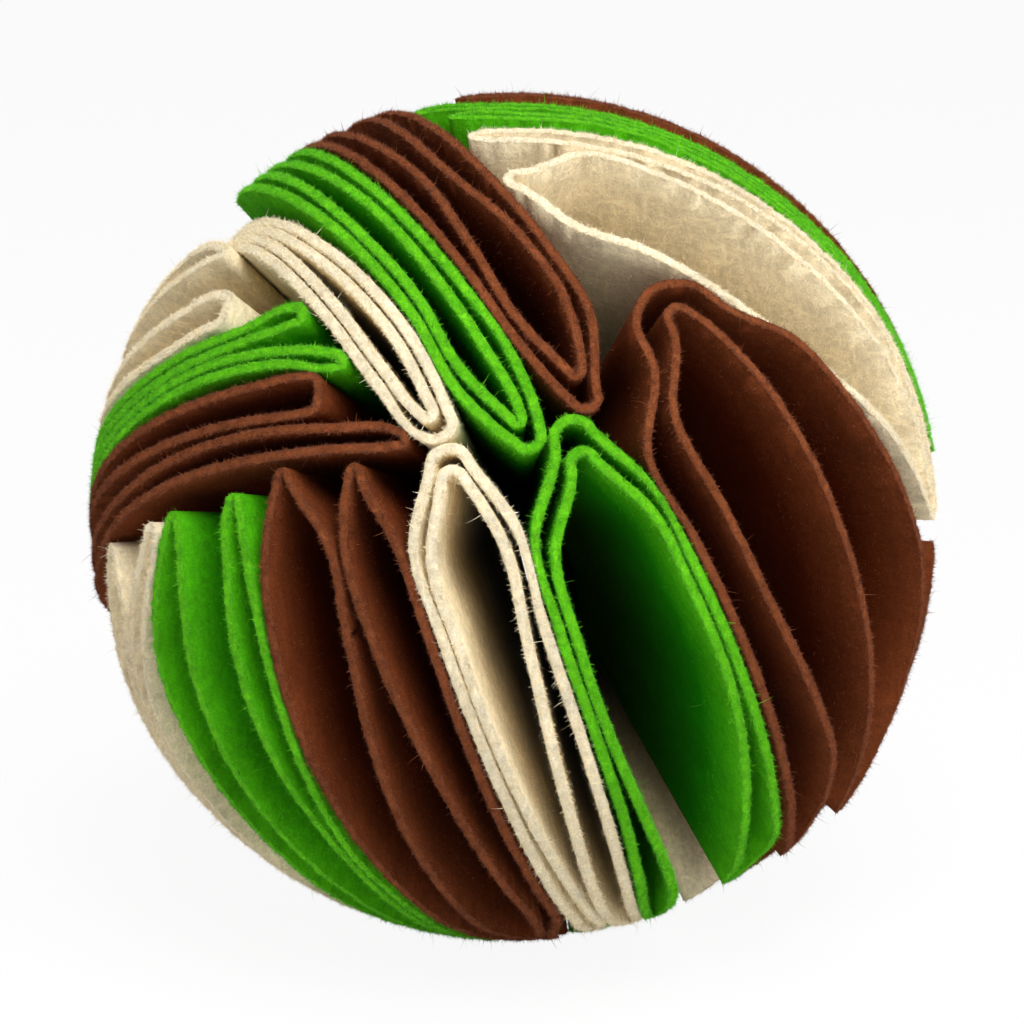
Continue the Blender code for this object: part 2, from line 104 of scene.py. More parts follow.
# Each noise: its scale per metre, detail, roughness and distortion
TANGLE_NOISE, TUFT_NOISE, MOTTLE_NOISE = (1500, 6, 0.72, 1.6), (420, 4, 0.6, 0.8), (70, 3, 0.55)
STREAK_NOISE, FIBRE_NOISE, CORD_NOISE = (900, 3, 0.6, 0.5), (600, 2, 0.5), (1200, 5, 0.7, 1.0)
STREAK_WAYS = ((1, 0.9, 0.16), (0.2, 1, 0.8))  # two ways that the felt's fibres lie
FELT_BUMP = {"Strength": 0.75, "Distance": 0.00045}
CORD_BUMP = {"Strength": 0.6, "Distance": 0.0003}
# Painted shade: the cord's colours are dark for the shade it lies in deep in the ball
CORD_PAINTED_SHADE_COLOURS = (0.03, 0.024, 0.016, 1), (0.09, 0.075, 0.055, 1)
THICKNESS_SHARE = {"cream": 1.0, "green": 0.95, "brown": 0.85}  # of the felt's thickness
EDGE_FIBRES = 0.6  # of the loose fibres stand on the cut edge, and the rest on the faces near it
LONG_FIBRE_POINTS = 5
EDGE_RAGGED = 0.07  # of the half thickness, the cut edge's usual error to the sides
ROOM_BATCH = 500  # points whose distances are worked out at once
SAME_LEAF_PITCHES = 2.2  # a rim's own points nearer along it than this are the same leaf
THIN_STEPS = 4  # rim points to each side over which a tight place thins the felt
ROW_POWER = 0.8  # below 1 puts more of the face's rows near the tie
EDGE_WAVE = 0.00034, (31, 47, 83, 121, 167, 239, 311, 397)  # height of the cut edge's wobble, its waves
EDGE_SUNK = 0.0001  # the wobbly cut edge lies this far inside the ball
TURN_POWERS = 0.8, 0.7  # of cosine and sine round the cut edge; below 1 makes it squarer
SWAY_WAVE = 0.00035, (7, 11, 17, 23)  # how far a leaf sways aside in its middle, and its waves
SWAY_SEED, TUFT_SEED, FIBRE_SEED = 50, 900, 500  # added to a disc's own seed
EDGE_MASK_POWER = 0.4
GROUND_CLEAR = 0.00002  # nothing lies lower than this above the floor
FIBRE_FACE_ROWS = 2  # rows of each face, next to the cut edge, that have fibres too
OUTWARD_LEAN = 0.001  # settles which way is outwards on the middle of the cut edge
FIBRE_FACING, FIBRE_OUTWARD, FIBRE_SPREAD = 0.8, 0.35, 0.4  # what a fibre's way is mixed from
FIBRE_SUNK = 0.0001  # a fibre's root lies this deep in the felt
SHORT_REACH = 0.4, 0.3, 1.6  # of the fibre length: at least, usually more by, at most
LONG_REACH = 0.5, 0.4, 2.0
CURL = 0.7  # of a long fibre's length, the most that it curls aside
LONG_TAPER = 0.9  # of a long fibre's width is gone at its tip
RIMS = {}

# Places of the folds' leaves, in degrees from the fold's head towards its tail
STATIONS_DEG = np.array([10.0, 27.0, 45.0, 63.0, 80.0])
LEAF_POINTS = 6  # rim points along one leaf
BEND_POINTS = 5  # rim points round one bend of a fold
BLUNT_POWER = 0.55  # of the sine and cosine round a squarer bend
TIP_SPAN_DEG = 16.0  # length of a leaf over which its tip rises out of the ball
EVEN_SHARE = 0.55  # of a leaf's points are spaced evenly, and the rest gather at its ends
BEND_CLEAR_DEG = 3.0  # a station nearer than this to a bend is left out
GROUND_REACH_DEG = 11.0  # leaves this near the resting point are drawn with closer points
GROUND_STEP_DEG = 4.0
GROUND_MARGIN_DEG = 6.0  # the closer points start and end this much further out
GROUND_CLEAR_DEG = 2.0  # and stay this far from the bends
POINT_CLEAR_DEG = 1.5  # and from the leaf's other points

# The regular folds at the back
INNER_LEAVES = 0.42  # distance aside of the inner leaves, as a share of the outer ones'
OUTER_INNER_BENDS = ((-1, 0, 2.8), (3, 0, 1.6))
SWELL_FROM, SWELL_SPAN = 0.1, 0.82  # the part of a half sine wave that widens a fold in its middle
WAVE_DEG, WAVE_LENGTH_DEG = 0.5, 17.0  # a leaf's own wave, with its start turned by the next two
WAVE_TURN_FOLD, WAVE_TURN_LEAF = 1.9, 1.3

# Settling the leaves against each other, in rounds of small pushes
SETTLE_ROUNDS = 160
NEIGHBOUR_ROUNDS = 10  # between two searches for neighbours
NEIGHBOUR_PITCHES = 3.0  # how far round a leaf's piece its neighbours are looked for
OWN_PITCHES = 1.8  # a rim's own points nearer along it than this aren't its neighbours
PITCH_SPARE = 1.02
PUSH_SHARE = 1.2  # of the mean push that a point takes in one round
SMOOTH_SHARE = 0.8  # of the rounds even out the pushes along the rim
SMOOTH_KEPT = 0.8  # of a point's own shift in doing so, and the rest is its two neighbours'

# Each fold: its head and tail in degrees east and north of the middle of the ball's front, which
# end has the nested bends, the bends as (along, aside, half width) and each leaf's distance aside
# at the stations. Twin bends join leaves 1-2 and 3-4, nested ones join 1-4 outside and 2-3 inside.
FOLDS = {
    "front_right_cream": dict(
        head=(-9, 10), tail=(44, -73), nested="head",
        head_bends=((1.2, 0, 2.6), (4.4, 0.3, 1.8)), tail_bends=((88, -1, 0), (91, 4, 0)),
        leaves=((-6, -5.8, -4.4, -3.2, -2.2), (-3.5, -4.2, -2.8, -1, 0),
                (3.7, 4.5, 3.5, 2.7, 2), (5.7, 7.2, 7.8, 7.2, 5.8))),
    "front_right_green": dict(
        head=(6, 12), tail=(70, -63), nested="head",
        head_bends=((0, 0, 2.9), (4.5, 0, 1.8)), tail_bends=((90, -6.5, 0), (87, 5, 0)),
        leaves=((-8.6, -11.1, -10.8, -10.1, -9), (-5.1, -9.3, -8.8, -6.6, -4.8),
                (4, 7, 7.6, 5.9, 4.6), (6.3, 8.7, 9.9, 10.4, 9.6))),
    "front_right_brown": dict(
        head=(23, 30), tail=(77, -45), nested="head",
        head_bends=((-1, -3.4, 7.4), (2.5, -2.8, 1.9)), tail_bends=((94.4, -3.4, 0), (89, 4.4, 0)),
        tips=(0.018, 0.033),
        leaves=((-15.4, -19.5, -18.3, -14.9, -9.5), (-10.3, -13.2, -11.6, -6.5, -1.6),
                (0.5, 2, 2.1, 3.5, 4.6), (7.4, 14.4, 18.3, 19.8, 13))),
    "front_left_brown": dict(
        head=(-25, 7), tail=(18, -81), nested="tail",
        head_bends=((1, -5, 0), (1.5, 5.3, 0)), tail_bends=((91, 0, 4), (87, 1.5, 2)),
        leaves=((-8.5, -9.9, -8.9, -6.9, -5.5), (0.4, 0.7, -0.2, -0.7, -1.2),
                (3, 5.1, 7.3, 7.6, 5.5), (9.6, 12.5, 12.7, 11.6, 8))),
    "front_left_green": dict(
        head=(-42, 1), tail=(-119, -85), nested="tail",
        head_bends=((1.5, -6.3, 0), (-1.7, 4.9, 0)), tail_bends=((88, 2, 3.5), (84.5, 2, 1.5)),
        leaves=((-9.8, -12.3, -6.6, -4.3, -1.5), (-4.6, -4.5, -1.1, 1.5, 1),
                (4.1, 4.9, 7.8, 7.6, 4), (8.3, 10, 9.8, 9.6, 6))),
    "front_left_cream": dict(
        head=(-58, -2), tail=(-160, -80), nested="tail",
        head_bends=((3.5, -7.9, 0), (-1.4, 4.5, 0)), tail_bends=((84, -4, 5), (80, -3.5, 1.8)),
        leaves=((-10, -13.5, -15, -17, -13), (-5, -10.5, -10.5, -10, -6.5),
                (-1, -7.5, -5, -2, -1), (2.5, -4, -1, 1, 1.5))),
    "upper_left_brown": dict(
        head=(-19, 14), tail=(-108, -3), nested="tail",
        head_bends=((6.2, -2.6, 2.7), (-5.6, 4.4, 0.9)), tail_bends=((86, 8, 4), (82, 8, 1.6)), blunt=True,
        leaves=((-4.9, -4.1, -2.3, 0.6, 3.4), (0.2, 0.6, 2, 3.8, 6),
                (2.2, 3, 5.6, 8.4, 9.6), (5.4, 6, 8.2, 12, 12.4))),
    "upper_left_green": dict(
        head=(-25, 24), tail=(-111, -9), nested="tail",
        head_bends=((4, -3.3, 1.3), (-2, 4.6, 1.1)), tail_bends=((82, -3, 4.2), (78, -3, 1.6)), blunt=True,
        leaves=((-3.8, -3.6, -3.8, -5.4, -7), (-1.6, -1.6, -1.8, -3.2, -4.6),
                (1, 0.2, 0.2, -0.9, -1.6), (3.2, 2, 2, 1.4, 1))),
    "upper_left_cream": dict(
        head=(-47, 34), tail=(-122, 8), nested="tail",
        head_bends=((5.6, -3.7, 1), (-1, 7, 2.4)), tail_bends=((84, 7, 4), (80, 7, 1.6)), blunt=True,
        leaves=((-5.8, -2.5, 0, 2, 3), (-2, 1.5, 4, 5.5, 5.6),
                (6.4, 9.5, 10.5, 9.6, 8.4), (12, 13.6, 13.5, 12.4, 11))),
    "upper_middle_cream": dict(
        head=(-8, 8), tail=(-106, 43), nested="head", sunk=(None, 48, 132, 0.08),
        head_bends=((0.8, -1, 2.3), (4.2, -1.8, 1.3)), tail_bends=((90, 5, 0), (90, 1.4, 0)),
        leaves=((1, -0.9, -0.9, 2.2, 5), (-0.9, -2.9, -2.7, 0.2, 3.2),
                (-5, -6.6, -4.7, -1.7, 1.4), (-6.7, -8.3, -6.6, -3.6, -0.5))),
    "upper_middle_green": dict(
        head=(2, 8), tail=(-98, 51), nested="head",
        head_bends=((0, -0.5, 2), (3.2, -1.5, 1.2)), tail_bends=((90, 1.6, 0), (90, -4.5, 0)),
        leaves=((2.9, 0.9, 0.4, 1.8, 2.6), (1.1, -0.8, -1.4, -0.8, 0.2),
                (-3.7, -5.6, -5.9, -4.4, -3), (-5.4, -7.3, -7.7, -7, -6))),
    "upper_middle_brown": dict(
        head=(9, 13), tail=(-105, 62), nested="head",
        head_bends=((-0.4, 0, 2), (4, -1.5, 1.2)), tail_bends=((90, 4, 0), (90, -4, 0)),
        leaves=((4, 4.9, 5.4, 5.8, 5.5), (1.3, 1.7, 1, 2.5, 2),
                (-4.3, -4.5, -1.9, -3, -2.5), (-6.1, -6.5, -6.2, -6, -5.5))),
    "upper_right_cream": dict(
        head=(-7, 51), tail=(81, -2), nested="tail", sunk=(3, 31, 60, 0.04),
        head_bends=((-2, 7.2, 0), (3.6, -3.4, 1.7)), tail_bends=((85, -2, 3.2), (82, -1, 1.2)),
        leaves=((10.1, 11.3, 10.6, 9.2, 3.4), (7, 8.3, 8, 7, 1.6),
                (3.2, 4.5, 3.1, 2.1, -1), (-8.8, -11.2, -10.1, -9.4, -8))),
    "upper_right_green": dict(
        head=(-30, 67), tail=(84, 10), nested="tail",
        head_bends=((-1.8, 2, 0), (3.4, -3.5, 0)), tail_bends=((90, -1, 3), (87.5, -1, 1)),
        leaves=((0.5, 1, -0.4, 0, 1.2), (-1.4, -0.8, -2.2, -1.8, -0.4),
                (-3.6, -2.7, -4, -3.6, -2.1), (-5.5, -4.5, -5.8, -5.3, -3.8))),
    "upper_right_brown": dict(
        head=(-32, 76), tail=(88, 12), nested="tail",
        head_bends=((0, 0.1, 0), (1, 10, 0)), tail_bends=((90, 10, 5), (86, 11, 2)),
        leaves=((-1, -1, -1, 0.6, 2), (2, 3.5, 4.5, 6.5, 8),
                (8.5, 10.5, 12.5, 15, 14.5), (11, 14, 17.5, 21, 19.5))),
    "back_left_brown": dict(
        head=(-171, -2), tail=(64, -87), nested="head",
        head_bends=((-1, 0, 2.8), (3, 0, 1.6)), tail_bends=((89, -3.8, 0), (88, 3.7, 0)),
        leaves=((-7.5, -9.8, -10, -8.3, -5.6), (-3.4, -4.2, -4.2, -3, -1.9),
                (3.4, 4.2, 4.4, 3.2, 1.6), (7.5, 9.8, 10.2, 8.5, 5.6))),
}

# The folds at the back, which repeat one regular shape: head, tail, which end has the nested
# bends, half width and how far the whole fold bows aside, in degrees
BACK_FOLDS = {
    "back_upper_cream": ((-139, 13), (129, 11), "head", 11, -1),
    "back_upper_green": ((-139, 34), (122, 26), "tail", 9.5, 0),
    "back_upper_brown": ((-143, 57), (115, 34), "head", 7.5, 0),
    "back_left_cream": ((-117, -8), (-124, -65), "head", 7, 0),
    "back_left_green": ((-138, -1), (-150, -65), "tail", 7.5, 1),
    "back_right_green": ((161, -4), (94, -80), "tail", 8.5, 1),
    "back_right_cream": ((136, -4), (98, -68), "head", 8, 0),
    "back_right_brown": ((92, -5), (93, -60), "head", 7, -2),
}


def ball_direction(east, north):
    """The unit vector to a place on the ball, with the ball tipped back as it lies."""
    e, n = math.radians(east), math.radians(north)
    upright = Vector((math.sin(e) * math.cos(n), -math.cos(e) * math.cos(n), math.sin(n)))
    return np.array(Matrix.Rotation(-math.radians(TIP_BACK_DEG), 3, "X") @ upright)


def fold_frame(head, tail):
    """Three unit vectors of a fold: to its head, along it at right angles, and aside."""
    to_head = ball_direction(*head)
    aside = np.cross(to_head, ball_direction(*tail))
    aside /= np.linalg.norm(aside)
    return to_head, np.cross(aside, to_head), aside


def place_on_ball(frame, along_aside):
    """Unit vectors for rows of (along, aside) degrees in a fold's frame."""
    along, aside = np.radians(np.asarray(along_aside, float)).T
    to_head, onward, sideways = frame
    middle = np.outer(np.cos(along), to_head) + np.outer(np.sin(along), onward)
    return np.cos(aside)[:, None] * middle + np.outer(np.sin(aside), sideways)


def bend_points(bend, inward, side, power):
    """A half circle at a fold's end, from the leaf on the given side to the other one.

    A power below 1 gives it the squarer corners of a pinched fold.
    """
    along, aside, half = bend
    half = max(half, CREASE_DEG)
    turn = np.linspace(0, math.pi, BEND_POINTS)
    return np.stack([along + inward * half * (1 - np.sin(turn) ** power),
                     aside + side * half * np.sign(np.cos(turn)) * abs(np.cos(turn)) ** power], axis=1)


def hermite(x, xs, ys):
    """A smooth curve through the points (xs, ys), read at x."""
    slopes = np.gradient(ys, xs)
    i = np.clip(np.searchsorted(xs, x) - 1, 0, len(xs) - 2)
    width = xs[i + 1] - xs[i]
    t = (x - xs[i]) / width
    return ((1 + 2 * t) * (1 - t) ** 2 * ys[i] + t * (1 - t) ** 2 * width * slopes[i]
            + t * t * (3 - 2 * t) * ys[i + 1] + t * t * (t - 1) * width * slopes[i + 1])


def leaf_line(frame, asides, head_end, tail_end):
    """One leaf's rim from the head bend's end to the tail bend's end, without the ends."""
    low, high = head_end[0], tail_end[0]
    kept = (STATIONS_DEG > low + BEND_CLEAR_DEG) & (STATIONS_DEG < high - BEND_CLEAR_DEG)
    xs = np.concatenate([[low], STATIONS_DEG[kept], [high]])
    ys = np.concatenate([[head_end[1]], np.asarray(asides, float)[kept], [tail_end[1]]])
    even = np.arange(1, LEAF_POINTS + 1) / (LEAF_POINTS + 1)
    share = EVEN_SHARE * even + (1 - EVEN_SHARE) * (1 - np.cos(math.pi * even)) / 2
    x = low + (high - low) * share
    points = np.stack([x, hermite(x, xs, ys)], axis=1)
    ground = np.degrees(np.arccos(np.clip(place_on_ball(frame, points) @ (0, 0, -1), -1, 1)))
    if ground.min() < GROUND_REACH_DEG:
        near = x[ground < GROUND_REACH_DEG + GROUND_MARGIN_DEG]
        first = max(near.min() - GROUND_MARGIN_DEG, low + GROUND_CLEAR_DEG)
        last = min(near.max() + GROUND_MARGIN_DEG, high - GROUND_CLEAR_DEG)
        close = np.arange(first, last, GROUND_STEP_DEG)
        close = close[[abs(x - c).min() > POINT_CLEAR_DEG for c in close]]
        x = np.sort(np.concatenate([x, close]))
        points = np.stack([x, hermite(x, xs, ys)], axis=1)
    return points


def fold_rim(head, tail, nested, head_bends, tail_bends, leaves, sunk=None, blunt=False, tips=(0, 0)):
    """The closed rim of one folded disc, as vectors whose lengths are shares of the ball's radius.

    sunk lowers part of one leaf (or of them all) that a neighbour hides: (leaf, from, to, depth).
    blunt makes the head's bends squarer, and tips is how far each tail bend stands out of the ball.
    """
    frame = fold_frame(head, tail)
    pairs = {"nested": ((0, 3), (1, 2)), "twin": ((0, 1), (3, 2))}
    head_pairs = pairs["nested" if nested == "head" else "twin"]
    tail_pairs = pairs["nested" if nested == "tail" else "twin"]
    bends, ends = {}, {}
    for where, these, pairing, station, inward in (("head", head_bends, head_pairs, 0, 1),
                                                   ("tail", tail_bends, tail_pairs, -1, -1)):
        power = BLUNT_POWER if blunt and where == "head" else 1
        for bend, (a, b) in zip(these, pairing):
            side = math.copysign(1, leaves[a][station] - leaves[b][station])
            line = bend_points(bend, inward, side, power)
            bends[where, a, b], bends[where, b, a] = line, line[::-1]
            ends[where, a], ends[where, b] = line[0], line[-1]
    lines = [leaf_line(frame, leaves[k], ends["head", k], ends["tail", k]) for k in range(4)]
    if nested == "head":
        order = (lines[0][::-1], bends["head", 0, 3], lines[3], bends["tail", 3, 2],
                 lines[2][::-1], bends["head", 2, 1], lines[1], bends["tail", 1, 0])
        leaf_of = (0, 0, 3, 3, 2, 2, 1, 1)
    else:
        order = (lines[0][::-1], bends["head", 0, 1], lines[1], bends["tail", 1, 2],
                 lines[2][::-1], bends["head", 2, 3], lines[3], bends["tail", 3, 0])
        leaf_of = (0, 0, 1, 1, 2, 2, 3, 3)
    along = np.concatenate(order)[:, 0]
    tip_of = {k: number for number, pair in enumerate(tail_pairs) for k in pair}
    number = np.repeat([tip_of[k] for k in leaf_of], [len(line) for line in order])
    end = np.array([bend[0] for bend in tail_bends])[number]
    share = np.clip((along - end) / TIP_SPAN_DEG + 1, 0, 1)
    reach = 1 + np.array(tips)[number] * share * share * (3 - 2 * share)
    if sunk:
        leaf, low, high, depth = sunk
        dip = depth * np.sqrt(np.sin(np.pi * np.clip((along - low) / (high - low), 0, 1)))
        if leaf is not None:
            dip *= np.concatenate([np.full(len(line), line is lines[leaf]) for line in order])
        reach -= dip
    return reach[:, None] * place_on_ball(frame, np.concatenate(order))


def back_fold(index, head, tail, nested, half, bow):
    """A fold of the regular shape, with a small wave of its own in each leaf."""
    end = math.degrees(math.acos(np.dot(ball_direction(*head), ball_direction(*tail))))
    share = np.clip(STATIONS_DEG / end, 0, 1)
    swell = np.sqrt(np.sin(math.pi * (SWELL_FROM + SWELL_SPAN * share)))
    bowed = bow * np.sin(math.pi * share)
    turns = [WAVE_TURN_FOLD * index + WAVE_TURN_LEAF * k for k in range(4)]
    waves = [WAVE_DEG * np.sin(STATIONS_DEG / WAVE_LENGTH_DEG + turn) for turn in turns]
    asides = (-1, -INNER_LEAVES, INNER_LEAVES, 1)
    leaves = [half * aside * swell + wave + bowed for aside, wave in zip(asides, waves)]
    twin = ((0, -0.5 * half, 0), (-1, 0.5 * half, 0))
    if nested == "head":
        tail_bends = tuple((end + a, o, w) for a, o, w in twin)
        return dict(head=head, tail=tail, nested=nested, leaves=leaves,
                    head_bends=OUTER_INNER_BENDS, tail_bends=tail_bends)
    tail_bends = tuple((end - a, o, w) for a, o, w in OUTER_INNER_BENDS)
    return dict(head=head, tail=tail, nested=nested, leaves=leaves,
                head_bends=twin, tail_bends=tail_bends)


def settle(rims):
    """Push leaves that lie closer than one pitch apart, a little at a time, along the ball."""
    counts = [len(r) for r in rims]
    points = np.concatenate(rims)
    reach = np.linalg.norm(points, axis=1)[:, None]
    points = points / reach
    start = points.copy()
    owner = np.repeat(np.arange(len(rims)), counts)
    first = np.repeat(np.cumsum([0] + counts[:-1]), counts)
    size = np.repeat(counts, counts)
    index = np.arange(len(points))
    following = first + (index - first + 1) % size
    before = first + (index - first - 1) % size
    pitch = math.radians(PITCH_DEG) * PITCH_SPARE
    steps = np.linalg.norm(points[following] - points, axis=1)
    along = np.concatenate([np.cumsum(steps[owner == k]) - steps[owner == k] for k in range(len(rims))])
    length = np.repeat([steps[owner == k].sum() for k in range(len(rims))], counts)
    for turn in range(SETTLE_ROUNDS):
        if turn % NEIGHBOUR_ROUNDS == 0:
            middle = (points + points[following]) / 2
            window = steps / 2 + NEIGHBOUR_PITCHES * pitch
            far = np.linalg.norm(points[:, None] - middle[None], axis=2) > window[None]
            back = abs(along[:, None] - along[None] - steps[None] / 2)
            back = np.minimum(back, length[:, None] - back) - steps[None] / 2
            same = (owner[:, None] == owner[None]) & (back < OWN_PITCHES * pitch)
            i, j = np.nonzero(~far & ~same)
        a, b = points[j], points[following[j]]
        d = b - a
        t = np.clip(((points[i] - a) * d).sum(1) / (d * d).sum(1), 0, 1)[:, None]
        apart = points[i] - (a + t * d)
        distance = np.linalg.norm(apart, axis=1)
        short = np.clip(pitch - distance, 0, None)
        if not short.any():
            break
        push = (0.5 * short / np.maximum(distance, 1e-9))[:, None] * apart
        moved, weight = np.zeros_like(points), np.full(len(points), 1e-9)
        for target, part in ((i, push), (j, -push * (1 - t)), (following[j], -push * t)):
            np.add.at(moved, target, part)
            np.add.at(weight, target, (short > 0).astype(float))
        points = points + moved / np.maximum(weight, 1)[:, None] * PUSH_SHARE
        if turn < SETTLE_ROUNDS * SMOOTH_SHARE:
            shift = points - start
            beside = (shift[before] + shift[following]) / 2
            points = start + SMOOTH_KEPT * shift + (1 - SMOOTH_KEPT) * beside
        points /= np.linalg.norm(points, axis=1)[:, None]
        steps = np.linalg.norm(points[following] - points, axis=1)
    return np.split(points * reach, np.cumsum(counts)[:-1])


def all_rims():
    """Every folded disc's rim by name, settled against its neighbours."""
    folds = dict(FOLDS)
    for index, (name, shape) in enumerate(BACK_FOLDS.items()):
        folds[name] = back_fold(index, *shape)
    rims = [fold_rim(**fold) for fold in folds.values()]
    return dict(zip(folds, settle(rims)))


def smooth_rim(rim):
    """The rim as a smooth closed curve: a cubic through every point, in the distance along it.

    Gives unit directions, each one's reach, and the distance along the rim in metres.
    """
    count = len(rim)
    wrapped = np.take(rim, np.arange(-RIM_WRAP, count + RIM_WRAP + 1) % count, axis=0)
    steps = np.linalg.norm(np.diff(wrapped, axis=0), axis=1)
    t = np.concatenate([[0], np.cumsum(steps)])
    slopes = np.gradient(wrapped, t, axis=0)
    parts = np.ceil(steps[RIM_WRAP:RIM_WRAP + count] / math.radians(FINE_STEP_DEG))
    parts = np.maximum(parts, LEAST_PARTS).astype(int)
    start = np.repeat(np.arange(RIM_WRAP, RIM_WRAP + count), parts)
    share = np.concatenate([np.arange(n) / n for n in parts])[:, None]
    width = (t[start + 1] - t[start])[:, None]
    curve = ((1 + 2 * share) * (1 - share) ** 2 * wrapped[start]
             + share * (1 - share) ** 2 * width * slopes[start]
             + share ** 2 * (3 - 2 * share) * wrapped[start + 1]
             + share ** 2 * (share - 1) * width * slopes[start + 1])
    reach = np.linalg.norm(curve, axis=1)
    along = (t[start] - t[RIM_WRAP] + share[:, 0] * width[:, 0]) * BALL_RADIUS
    return curve / reach[:, None], reach, along


def room_beside(lines):
    """For each point of each rim, the distance to the nearest other leaf, on the unit ball."""
    points = np.concatenate([line[0] for line in lines])
    counts = [len(line[0]) for line in lines]
    owner = np.repeat(np.arange(len(lines)), counts)
    along = np.concatenate([line[2] for line in lines]) / BALL_RADIUS
    length = np.repeat([line[2][-1] / BALL_RADIUS for line in lines], counts)
    nearest = np.empty(len(points))
    for first in range(0, len(points), ROOM_BATCH):
        here = slice(first, first + ROOM_BATCH)
        distance = np.linalg.norm(points[here, None] - points[None], axis=2)
        apart = abs(along[here, None] - along[None])
        apart = np.minimum(apart, length[here, None] - apart)
        same = (owner[here, None] == owner[None]) & (apart < SAME_LEAF_PITCHES * math.radians(PITCH_DEG))
        distance[same] = 1
        nearest[here] = distance.min(axis=1)
    return np.split(nearest, np.cumsum(counts)[:-1])


def eased(values, width):
    """A closed row of values, each the mean of its neighbours up to width steps away."""
    total = sum(np.roll(values, k) for k in range(-width, width + 1))
    return total / (2 * width + 1)


def disc_rims():
    """Every disc's smooth rim and its felt's half thickness, worked out once."""
    if not RIMS:
        rims = all_rims()
        lines = [smooth_rim(rim) for rim in rims.values()]
        for (name, line), room in zip(zip(rims, lines), room_beside(lines)):
            sizes = bpy.context.scene.felt_sizes
            full = sizes.thickness * THICKNESS_SHARE[name.split("_")[-1]]
            half = np.minimum(full / 2, room * BALL_RADIUS / 2 - FELT_CLEARANCE)
            half = np.minimum.reduce([np.roll(half, k) for k in range(-THIN_STEPS, THIN_STEPS + 1)])
            RIMS[name] = (*line, eased(half, THIN_STEPS - 1))
    return RIMS


def ripple(along, length, seed, amount, waves):
    """A smooth closed wobble: sines of whole wave counts round the rim, with set phases."""
    random = np.random.default_rng(seed)
    total = np.zeros(len(along))
    for count in waves:
        total += np.sin(TAU * (count * along / length + random.random())) * random.uniform(0.5, 1)
    return amount * total / len(waves)


def felt_grid(name, seed):
    """A folded disc's surface on a grid of (place along the rim, place round the felt's section).

    The middle surface is a cone: the ball's centre plus radius times the rim's direction. The
    section runs up one face, round the cut edge and down the other, at half the felt's thickness
    to either side of the cone along its normal.
    """
    direction, reach, along, half = disc_rims()[name]
    length = along[-1] + along[1]
    sizes = bpy.context.scene.felt_sizes
    tangent = np.roll(direction, -1, axis=0) - np.roll(direction, 1, axis=0)
    normal = np.cross(direction, tangent)
    normal /= np.linalg.norm(normal, axis=1)[:, None]
    rows = TIE_RADIUS + (BALL_RADIUS - TIE_RADIUS) * np.linspace(0, 1, FACE_ROWS) ** ROW_POWER
    turn = np.linspace(-math.pi / 2, math.pi / 2, EDGE_ROWS)
    edge = ripple(along, length, seed, *EDGE_WAVE)
    top = BALL_RADIUS * reach + edge - EDGE_SUNK
    soft = sizes.edge_roundness * half
    share_up = (rows - TIE_RADIUS) / (BALL_RADIUS - TIE_RADIUS)
    thick = TIE_HALF + (half[:, None] - TIE_HALF) * share_up[None]
    radius_up = TIE_RADIUS + (top - soft - TIE_RADIUS)[:, None] * share_up[None]
    radius_turn = (top - soft)[:, None] + soft[:, None] * np.cos(turn)[None] ** TURN_POWERS[0]
    across_turn = half[:, None] * np.sign(np.sin(turn)) * abs(np.sin(turn)) ** TURN_POWERS[1]
    # The knife leaves small tufts, so the cut edge is a little rough from place to place
    random = np.random.default_rng(seed + TUFT_SEED)
    radius_turn += random.normal(0, sizes.edge_tufts, radius_turn.shape)
    across_turn *= 1 + random.normal(0, EDGE_RAGGED, across_turn.shape)
    radius = np.concatenate([radius_up, radius_turn[:, 1:-1], radius_up[:, ::-1]], axis=1)
    across = np.concatenate([-thick, across_turn[:, 1:-1], thick[:, ::-1]], axis=1)
    sway = ripple(along, length, seed + SWAY_SEED, *SWAY_WAVE)
    depth = (radius - TIE_RADIUS) / (BALL_RADIUS - TIE_RADIUS)
    bulge = np.sin(math.pi * np.clip(depth, 0, 1)) * sway[:, None] * depth
    points = (BALL_CENTRE + radius[..., None] * direction[:, None]
              + (across + bulge)[..., None] * normal[:, None])
    points[..., 2] = np.maximum(points[..., 2], GROUND_CLEAR)
    edge_share = np.zeros(radius.shape)
    edge_share[:, FACE_ROWS:-FACE_ROWS] = np.cos(turn[1:-1]) ** EDGE_MASK_POWER
    return points, depth, edge_share, along, length


def grid_mesh(points):
    """Points and quads over a grid that closes both ways."""
    rows, columns = points.shape[:2]
    index = np.arange(rows * columns).reshape(rows, columns)
    onward = np.roll(index, -1, axis=0)
    quads = np.stack([index, np.roll(index, -1, axis=1),
                      np.roll(onward, -1, axis=1), onward], axis=-1).reshape(-1, 4)
    return points.reshape(-1, 3), quads


def mesh_object(name, points, quads, material, smooth=True):
    """An object with a mesh of these points and faces, filled by whole arrays."""
    mesh = bpy.data.meshes.new(name)
    mesh.vertices.add(len(points))
    mesh.vertices.foreach_set("co", np.asarray(points, np.float32).ravel())
    sides = quads.shape[1]
    mesh.loops.add(quads.size)
    mesh.loops.foreach_set("vertex_index", quads.astype(np.int32).ravel())
    mesh.polygons.add(len(quads))
    mesh.polygons.foreach_set("loop_start", np.arange(0, quads.size, sides, dtype=np.int32))
    mesh.polygons.foreach_set("use_smooth", np.full(len(quads), smooth))
    mesh.materials.append(material)
    mesh.update(calc_edges=True)
    mesh.validate()
    obj = bpy.data.objects.new(name, mesh)
    bpy.context.scene.collection.objects.link(obj)
    return obj


def point_attribute(obj, name, values):
    attribute = obj.data.attributes.new(name, "FLOAT", "POINT")
    attribute.data.foreach_set("value", np.asarray(values, np.float32).ravel())


def unit(vectors):
    """Rows of vectors, each at length 1."""
    return vectors / np.maximum(np.linalg.norm(vectors, axis=1), 1e-12)[:, None]


